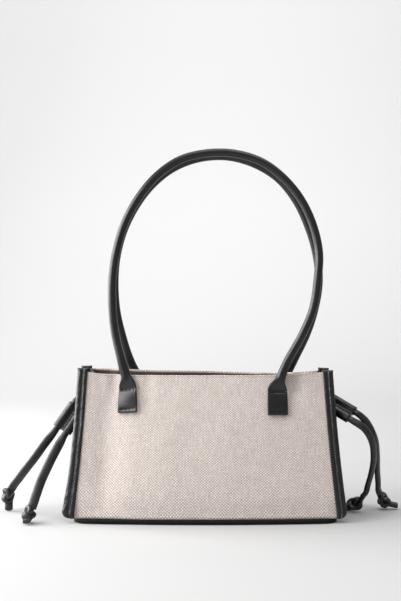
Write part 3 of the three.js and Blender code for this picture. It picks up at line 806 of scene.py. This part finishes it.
def make_tail(drawcord, name, leather, on_cord):
    """A tail with a row of stitches on each face."""
    side = drawcord["side"]
    edge = drawcord["tails"][name]["edge"]
    path = tail_path(drawcord, name)
    leaves = nearest(path, channel_end(drawcord, name == "far", True))
    section = tail_section(leaves)
    bm = swept_tube(path, section, 28, edge)
    axes = tube_axes(path, edge)
    seam = bmesh.new()
    for way in (-1, 1):
        row = []
        for k in range(leaves + 4, len(path) - 1):
            wide, thick = axes[k]
            a, b = section(k, way * math.acos(CORD_SEAM))
            row.append(path[k] + wide * a + thick * b)
        stitch_row(seam, row, lambda spot, way=way: way * axes[nearest(path, spot)][1], radius=0.0003)
    # The pale grey of these stitches is painted glint on black thread
    finish_piece(f"cord_stitches_{side}_{name}", seam, GLINT_GREY_THREAD)
    tail = finish_piece(f"cord_tail_{side}_{name}", bm, leather, [f"cord_{side}_{name}"])
    round(running_lengths(path)[-1], 3)
    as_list(on_cord)


def make_slider(drawcord, leather):
    """One leather band folded over both cords and sewn together between them."""
    along, beside, face = slider_axes(drawcord)
    radius = CORD_DIAMETER / 2 + SLIDER_WALL
    foot = channel_end(drawcord, False, True)
    half = SLIDER_SPACING / 2

    def outline(share):
        """The closed outline round both channels, drawn in to the seam in the middle."""
        turn = 2 * math.pi * share
        x = (half + radius) * math.cos(turn)
        if abs(x) > half:
            y = math.sqrt(max(radius ** 2 - (abs(x) - half) ** 2, 0))
        else:
            y = lerp(SLIDER_PINCH, radius, smooth(0.12, 0.95, abs(x) / half) ** 0.8)
        return x, math.copysign(y, math.sin(turn))

    def place(across, up):
        x, y = outline(across)
        return foot + beside * (half + x) + face * y - along * SLIDER_LENGTH * up

    bm = draped_grid(72, 14, place, 0.06, SLIDER_LENGTH)
    bmesh.ops.remove_doubles(bm, verts=bm.verts, dist=0.00002)
    middle = foot + beside * half - along * SLIDER_LENGTH / 2

    def outward(point):
        offset = point - middle
        x = offset.dot(beside)
        core = middle + beside * max(min(x, half), -half) + along * offset.dot(along)
        return (point - core).normalized()

    give_wall(bm, LEATHER_THICKNESS, outward)
    edges = [edge for edge in bm.edges if edge.calc_face_angle(0) > 1.0]
    bmesh.ops.bevel(bm, geom=edges, offset=0.0003, segments=2, profile=0.5, affect="EDGES", material=-1)
    side = drawcord["side"]
    slider = finish_piece(f"cord_slider_{side}", bm, leather, [f"slider_{side}"])
    seam = bmesh.new()
    for way in (-1, 1):
        row = [foot + beside * half + face * way * SLIDER_PINCH - along * SLIDER_LENGTH * share
               for share in (0.06, 0.5, 0.94)]
        stitch_row(seam, row, lambda _, way=way: face * way)
    finish_piece(f"slider_stitches_{side}", seam, BLACK_THREAD)
    return slider


def make_drawcord(drawcord, leather):
    side = drawcord["side"]
    on_cord = {name: [make_knot(side, name, tail, leather)] for name, tail in drawcord["tails"].items()}
    on_cord["near"].append(make_loop(side, drawcord["sign"], leather))
    on_cord["near"].append(make_slider(drawcord, leather))
    for name in drawcord["tails"]:
        make_tail(drawcord, name, leather, on_cord[name])


# The left cord gets the paler copy as painted light, the right one the plain black leather
for drawcord, leather in zip(DRAWCORDS, (LIT_CORD_LEATHER, LEATHER)):
    make_drawcord(drawcord, leather)


# Linen panels with a folded hem

def hem_relief(side, x, z):
    """The folded hem stands a little proud, and its stitches pull a groove."""
    below = rim_height(side, x) - z
    proud = HEM_PROUD * (1 - smooth(HEM_HEIGHT * 0.7, HEM_HEIGHT * 1.1, below))
    groove = HEM_GROOVE * bell((below - HEM_HEIGHT) / 0.0007)
    return proud - groove


def make_panel(name, side):
    def place(across, up):
        seam = seam_half_width(up)
        x = (2 * across - 1) * (seam + PANEL_TUCK)
        # The rows lie a little closer towards the rim
        z = lerp(PANEL_FOOT, rim_height(side, x), up ** 0.9)
        point = panel_point(side, x, z)
        point.y -= side * FOOT_ROLL * (1 - smooth(0, FOOT_ROLL_SHARE, up)) ** 2
        ripple = 0.0005 * noise.noise(Vector((x * 38, z * 22, side * 3.1)))
        ripple += 0.00022 * noise.noise(Vector((x * 130, z * 90, side * 7.7)))
        edge = smooth(0, 0.02, seam - abs(x))
        point.y += side * (ripple * edge + hem_relief(side, x, z) * edge)
        return point

    def along_rim(edge):
        low, high = sorted(vert.co.z for vert in edge.verts)
        return edge.calc_face_angle(0) > 1.0 and low > RIM_LOWEST and high - low < 0.0008

    bm = draped_grid(150, 84, place, 2 * seam_half_width(0), PANEL_HEIGHT)
    give_wall(bm, LINEN_THICKNESS, lambda _: Vector((0, side, 0)))
    rim = [edge for edge in bm.edges if along_rim(edge)]
    bmesh.ops.bevel(bm, geom=rim, offset=0.0007, segments=3, profile=0.5, affect="EDGES", material=-1)
    bm.normal_update()
    # Inner faces below the hem get the dark material: painted shade inside the bag
    for face in bm.faces:
        middle = face.calc_center_median()
        if face.normal.y * side < -0.3 and middle.z < rim_height(side, middle.x) - SHADED_INSIDE_DROP:
            face.material_index = 1
    panel = finish_piece(f"linen_{name}", bm, LINEN, [name], second=SHADED_INSIDE)
    2 * seam_half_width(0) + 2 * PANEL_TUCK
    seam = bmesh.new()
    row = []
    for k in range(41):
        x = lerp(-1, 1, k / 40) * (seam_half_width(1) - 0.002)
        z = rim_height(side, x) - HEM_HEIGHT
        point = panel_point(side, x, z)
        point.y += side * hem_relief(side, x, z)
        row.append(point)
    stitch_row(seam, row, lambda _: Vector((0, side, 0)), radius=0.0003)
    finish_piece(f"hem_stitches_{name}", seam, LINEN_THREAD)


make_panel("front_panel", -1)
make_panel("back_panel", 1)


# Bindings: leather folded round the edges of the panels

def binding_axes(side, sign, z):
    """The middle of a panel's edge, the way out past it and the way away from its face."""
    up = (z - PANEL_FOOT) / PANEL_HEIGHT
    edge = panel_point(side, sign * seam_half_width(up), z)
    out = (panel_point(side, sign * outer_half_width(up), z) - edge).normalized()
    away = Vector((-out.y, out.x, 0)) * sign * side
    return edge - away * LINEN_THICKNESS / 2, out, away


def binding_width(sign, z):
    """The binding's width as a share: rounded off at the foot and spread above it."""
    rest = max(BINDING_CORNER_RADIUS - (z - PANEL_FOOT), 0)
    cut = BINDING_CORNER_RADIUS - math.sqrt(max(BINDING_CORNER_RADIUS ** 2 - rest ** 2, 0))
    spread = BINDING_SPREAD[sign] * (1 - smooth(0, BINDING_SPREAD_HEIGHT, z - PANEL_FOOT))
    return (BINDING_WIDTH - cut) / BINDING_WIDTH * (1 + spread)


def binding_profile(run):
    """Place and height of the leather's outer face at a run across it: two leaves and a rolled fold."""
    half = LINEN_THICKNESS / 2 + GAP + LEATHER_THICKNESS
    roll = half + BINDING_ROLL
    flat = BINDING_WIDTH - roll
    arc = math.pi * roll
    total = 2 * flat + arc
    travelled = run * total
    if flat <= travelled <= flat + arc:
        turn = (travelled - flat) / roll
        return flat + roll * math.sin(turn), roll * math.cos(turn)
    a = travelled if travelled < flat else total - travelled
    rise = lerp(half - 0.0004, half, smooth(0, 0.001, a))
    rise += 0.0005 * math.sin(math.pi * min(a / BINDING_SEAM, 1))
    rise += (roll - half) * smooth(BINDING_SEAM, BINDING_SEAM + 0.002, a)
    rise -= 0.0006 * bell((a - BINDING_SEAM) / 0.0007)
    return a, math.copysign(rise, 0.5 - run)


def make_binding(name, side, sign):
    foot = PANEL_FOOT
    top = BINDING_TOP[sign]

    def place(across, up):
        z = lerp(foot, top, up)
        middle, out, away = binding_axes(side, sign, z)
        a, b = binding_profile(across)
        # The ends are pressed together, and the top one flares a little
        close = 1 - 0.8 * smooth(top - 0.0014, top, z) ** 2 - 0.6 * (1 - smooth(foot, foot + 0.002, z)) ** 2
        flare = 0.0006 * bell((top - 0.001 - z) / 0.0018)
        wrinkle = 0.00025 * noise.noise(Vector((z * 110, a * 300, side + 2 * sign)))
        wrinkle += 0.0002 * noise.noise(Vector((z * 330, a * 500, side * 4.1)))
        z -= 0.0005 * smooth(top - 0.003, top, z) * (1 - (2 * across - 1) ** 2)
        reach = a * binding_width(sign, z) + flare * (a / BINDING_WIDTH - 0.4)
        point = middle + out * reach + away * (b * close + wrinkle)
        point.z = z
        return point

    def outward(point):
        middle, out, away = binding_axes(side, sign, point.z)
        offset = point - middle
        beyond = offset.dot(out) - (BINDING_WIDTH - 0.0032)
        return away * math.copysign(1, offset.dot(away)) if beyond < 0 else out

    bm = draped_grid(64, 150, place, 2 * BINDING_WIDTH + 0.004, top - foot)
    give_wall(bm, LEATHER_THICKNESS * 0.92, outward)
    finish_piece(f"leather_{name}", bm, LEATHER, [name])
    sunk = LINEN_THICKNESS / 2 + GAP + LEATHER_THICKNESS - 0.0003
    seam = bmesh.new()
    for way in (1, -1):
        row = []
        for k in range(25):
            z = lerp(foot + 0.004, top - 0.003, k / 24)
            middle, out, away = binding_axes(side, sign, z)
            row.append(middle + out * BINDING_SEAM * binding_width(sign, z) + away * way * sunk)
        _, _, away = binding_axes(side, sign, (foot + top) / 2)
        stitch_row(seam, row, lambda _, away=away, way=way: away * way, pitch=0.0024, length=0.0016,
                   radius=0.0004)
    # The pale grey of these stitches is painted glint on black thread
    finish_piece(f"stitches_{name}", seam, GLINT_GREY_THREAD)


for side_name, side in (("front", -1), ("back", 1)):
    for sign_name, sign in (("left", -1), ("right", 1)):
        make_binding(f"binding_{side_name}_{sign_name}", side, sign)


# Gussets: soft leather sides that fold inwards

def cut_hole(piece, centre):
    """Cuts a round hole along the width through a piece, and splits the cut's faces into sound ones."""
    bm = bmesh.new()
    turn = Matrix.Rotation(math.pi / 2, 4, "Y")
    bmesh.ops.create_cone(bm, cap_ends=True, segments=32, radius1=HOLE_RADIUS, radius2=HOLE_RADIUS,
                          depth=0.05, matrix=Matrix.Translation(centre) @ turn)
    cutter = add_object("hole_cutter", bm)
    cut = piece.modifiers.new("cord hole", "BOOLEAN")
    cut.operation = "DIFFERENCE"
    cut.object = cutter
    bpy.context.view_layer.update()
    holed = bpy.data.meshes.new_from_object(piece.evaluated_get(bpy.context.evaluated_depsgraph_get()))
    piece.modifiers.clear()
    bpy.data.objects.remove(cutter)
    bm = bmesh.new()
    bm.from_mesh(holed)
    bmesh.ops.triangulate(bm, faces=[face for face in bm.faces if len(face.verts) > 4])
    bmesh.ops.dissolve_degenerate(bm, dist=0.00002, edges=bm.edges)
    for face in bm.faces:
        face.smooth = True
    bm.to_mesh(holed)
    bm.free()
    piece.data = holed


def make_gusset(name, sign):
    def place(across, up):
        along = 2 * across - 1
        point = gusset_point(sign, along, up)
        slack = smooth(0.1, 0.5, up) * (1 - along * along)
        sink = GUSSET_SINK * (1 - smooth(0.5, 1, abs(along)))
        point.z -= (GUSSET_DROP[sign] + sink) * smooth(0.6, 1, up)
        point.x += sign * 0.0009 * slack * noise.noise(Vector((point.y * 55, point.z * 28, sign)))
        return point

    bm = draped_grid(56, 70, place, BASE_DEPTH, PANEL_HEIGHT)
    give_wall(bm, GUSSET_THICKNESS, lambda _: Vector((sign, 0, 0)))
    gusset = finish_piece(f"leather_{name}", bm, LEATHER, [name])
    for hole in (-1, 1):
        cut_hole(gusset, hole_point(sign, hole, 0))


make_gusset("left_gusset", -1)
make_gusset("right_gusset", 1)


# Base: a leather-covered board with a rounded edge

def make_base():
    half_length = BASE_WIDTH / 2 - BINDING_WIDTH + GUSSET_THICKNESS + GAP
    # With this count the circle has two points at each end, and its radius puts them at the full length
    points = 82
    bm = bmesh.new()
    bmesh.ops.create_circle(bm, cap_ends=True, segments=points, radius=1 / math.cos(math.pi / points))
    for vert in bm.verts:
        x = vert.co.x * half_length
        bow = 1 - (x / (BASE_WIDTH / 2)) ** 2
        rounding = max(abs(x) - (half_length - BASE_CORNER), 0)
        drawn_in = BASE_CORNER - math.sqrt(max(BASE_CORNER ** 2 - rounding ** 2, 0))
        y = math.copysign(BASE_DEPTH / 2 + BASE_BOW * bow + GAP - drawn_in, vert.co.y)
        vert.co = (x, y, 0)
    made = bmesh.ops.extrude_face_region(bm, geom=bm.faces)["geom"]
    upper = [item for item in made if isinstance(item, bmesh.types.BMVert)]
    bmesh.ops.translate(bm, verts=upper, vec=(0, 0, BASE_THICKNESS))
    bmesh.ops.recalc_face_normals(bm, faces=bm.faces)
    edges = [edge for edge in bm.edges if edge.calc_face_angle(0) > 1.0]
    bmesh.ops.bevel(bm, geom=edges, offset=BASE_ROUNDING, segments=4, profile=0.5, affect="EDGES",
                    material=-1)
    finish_piece("leather_base", bm, SHADED_BASE_LEATHER, ["base"])


make_base()


# Handles: rolled leather that spreads into flat sewn tabs

def tab_centre(name, side, end, height):
    """The middle of a tab's thickness at a height above its lower edge."""
    x = HANDLE_SHIFT[name] + end * TAB_SPACING / 2
    point = panel_point(side, x, TAB_TOP - TAB_DROP[end] - TAB_HEIGHT + height)
    point.y += side * (TAB_THICKNESS / 2 + TAB_CLEARANCE)
    return point


def handle_stations(name, side):
    """Centres along the handle, each with how flat and how wide it is, its run and its end."""
    radius = HANDLE_DIAMETER / 2
    height = HANDLE_TOP - radius - TAB_TOP
    points = []
    for across, out, up in HANDLE_ROUTES[name]:
        risen = smooth(0, 0.2, up)
        x = HANDLE_SHIFT[name] + across * TAB_SPACING / 2 + (out + HANDLE_LEAN * risen) * HANDLE_SPREAD
        end = -1 if across < 0 else 1
        z = TAB_TOP + up * height - TAB_DROP[end] * (1 - risen)
        neck = smooth(0, HANDLE_NECK, up * height)
        on_panel = abs(panel_point(side, x, min(z, rim_height(side, x))).y)
        standing = on_panel + lerp(TAB_THICKNESS / 2 + TAB_CLEARANCE, radius + 2 * GAP, neck)
        points.append(Vector((x, side * lerp(standing, HANDLE_TOP_SPACING / 2, smooth(0.06, 1, up)), z)))
    route = curve_through(points, 260)
    length = running_lengths(route)[-1]
    levels = [TAB_HEIGHT * k / 22 for k in range(22)]
    first = [(tab_centre(name, side, -1, level), 1.0, 1.0, level, -1) for level in levels]
    final = [(tab_centre(name, side, 1, level), 1.0, 1.0, level, 1) for level in reversed(levels)]
    middle = []
    for k, centre in enumerate(route):
        end = -1 if k < len(route) / 2 else 1
        run = min(k, len(route) - 1 - k) / (len(route) - 1) * length
        flat = 1 - smooth(0, HANDLE_NECK, run)
        wide = lerp(flat, 1 - smooth(0, HANDLE_FLARE_LENGTH, run), HANDLE_FLARE[end])
        middle.append((centre, flat, wide, TAB_HEIGHT + run, end))
    return [*first, *middle, *final]


def tab_relief(height, aside):
    """The tab is puffed between its stitch rows, which pull grooves into it."""
    low, high = TAB_ROWS
    between = min(max((height - low) / (high - low), 0), 1)
    puff = TAB_PUFF * math.sin(math.pi * between) * (1 - (aside / (TAB_WIDTH / 2)) ** 2)
    groove = sum(TAB_GROOVE * bell((height - row) / 0.0009) for row in TAB_ROWS)
    return puff - groove * (1 - smooth(0.0075, 0.0095, abs(aside)))


def make_handle(name, side):
    stations = handle_stations(name, side)
    radius = HANDLE_DIAMETER / 2
    path = [station[0] for station in stations]

    def facing(k):
        centre, flat = stations[k][:2]
        yaw = flat * panel_slope(side, centre.x, min(centre.z, TAB_TOP))
        tangent = path[min(k + 1, len(path) - 1)] - path[max(k - 1, 0)]
        return Vector((-yaw, 1, 0)).cross(tangent).normalized()

    def section(k, turn):
        _, flat, broad, run, end = stations[k]
        power = 1 / (1 + 7 * flat)
        cos, sin = math.cos(turn), math.sin(turn)
        top_narrow = TAB_TOP_NARROWING[end] * smooth(TAB_HEIGHT * 0.4, TAB_HEIGHT, run)
        wide = lerp(radius, TAB_WIDTH / 2 - top_narrow, broad)
        # The lower corners are a little rounded
        wide -= 0.0006 * (1 - smooth(-0.0012, 0.0012, run))
        thick = lerp(radius, TAB_THICKNESS / 2, flat)
        a = wide * math.copysign(abs(cos) ** power, cos)
        b = thick * math.copysign(abs(sin) ** power, sin)
        if sin * side > 0:
            # On the outer face the tab is puffed, and a crease runs up from it where the leather gathers
            b += side * tab_relief(run, a) * flat * abs(sin)
            crease = 0.0026 * bell((run - TAB_HEIGHT - 0.006) / 0.008) * bell((a + end * 0.0022) / 0.0016)
            b -= side * crease * (1 - 0.5 * flat)
        return a, b

    bm = swept_tube(path, section, 40, facing)
    finish_piece(f"rolled_{name}", bm, HANDLE_LEATHER, [name])
    seam = bmesh.new()
    for end in (-1, 1):
        for height in TAB_ROWS:
            row = []
            for k in range(7):
                aside = (k / 3 - 1) * (TAB_WIDTH / 2 - 0.0026)
                point = tab_centre(name, side, end, height)
                point.x += aside
                point.y += panel_slope(side, point.x - aside, point.z) * aside
                point.y += side * (TAB_THICKNESS / 2 + tab_relief(height, aside))
                row.append(point)
            stitch_row(seam, row, lambda _: Vector((0, side, 0)), pitch=0.004, length=0.0027, radius=0.0009)
    finish_piece(f"tab_stitches_{name}", seam, BLACK_THREAD)


make_handle("handle_front", -1)
make_handle("handle_back", 1)


# Studio: a pale floor that curves up behind, soft light from the left

def make_studio():
    material, tree = new_material("white paper backdrop")
    place = add_node(tree, "ShaderNodeTexCoord").outputs["Object"]
    axes = add_node(tree, "ShaderNodeSeparateXYZ", {"Vector": place})
    # The paper is painted darker near the bag and paler towards the back: painted shade that evens out the
    # lamps' light on it
    depth = add_node(tree, "ShaderNodeMapRange", {"Value": axes.outputs["Y"], "From Min": 0.3,
                                                  "From Max": 2.2})
    ramp = add_node(tree, "ShaderNodeValToRGB", {"Fac": depth.outputs["Result"]})
    ramp.color_ramp.elements[0].color = linear("#b6b6b6")
    ramp.color_ramp.elements[1].color = linear("#dfdfdf")
    shader = add_node(tree, "ShaderNodeBsdfPrincipled", {"Base Color": ramp.outputs["Color"],
                                                         "Roughness": 0.85})
    add_node(tree, "ShaderNodeOutputMaterial", {"Surface": shader.outputs["BSDF"]})
    bm = bmesh.new()
    bmesh.ops.create_grid(bm, x_segments=2, y_segments=60, size=1)
    start = 1.2
    bend = 1.2
    for vert in bm.verts:
        run = vert.co.y * 4.0 + 0.5
        if run < start:
            y, z = run, 0
        elif run < start + bend * math.pi / 2:
            turn = (run - start) / bend
            y, z = start + bend * math.sin(turn), bend * (1 - math.cos(turn))
        else:
            y, z = start + bend, bend + run - start - bend * math.pi / 2
        vert.co = (vert.co.x * 5, y, z)
    backdrop = add_object("backdrop", bm)
    backdrop.data.materials.append(material)


def soft_light(name, place, aim, size, power):
    data = bpy.data.lights.new(name, "AREA")
    data.shape = "RECTANGLE"
    data.size, data.size_y = size
    data.energy = power
    light = bpy.data.objects.new(name, data)
    light.location = place
    light.rotation_euler = (Vector(aim) - Vector(place)).to_track_quat("-Z", "Y").to_euler()
    bpy.context.scene.collection.objects.link(light)


make_studio()
soft_light("side window", (-1.5, -0.7, 0.95), (0, 0, 0.15), (1.1, 1.3), 40)
soft_light("left edge light", (-1.25, 0.35, 0.5), (0, 0, 0.22), (0.6, 1.2), 28)
soft_light("overhead", (0.1, -0.5, 1.9), (0, 0, 0.1), (1.4, 1.0), 16)
soft_light("backdrop wash", (0, 0.9, 2.2), (0, 1.9, 0.6), (3.0, 1.0), 22)
world = bpy.data.worlds.new("studio")
world.use_nodes = True
world.node_tree.nodes["Background"].inputs["Color"].default_value = (1, 1, 1, 1)
world.node_tree.nodes["Background"].inputs["Strength"].default_value = 0.4
bpy.context.scene.world = world
bpy.context.scene.view_settings.view_transform = "Standard"
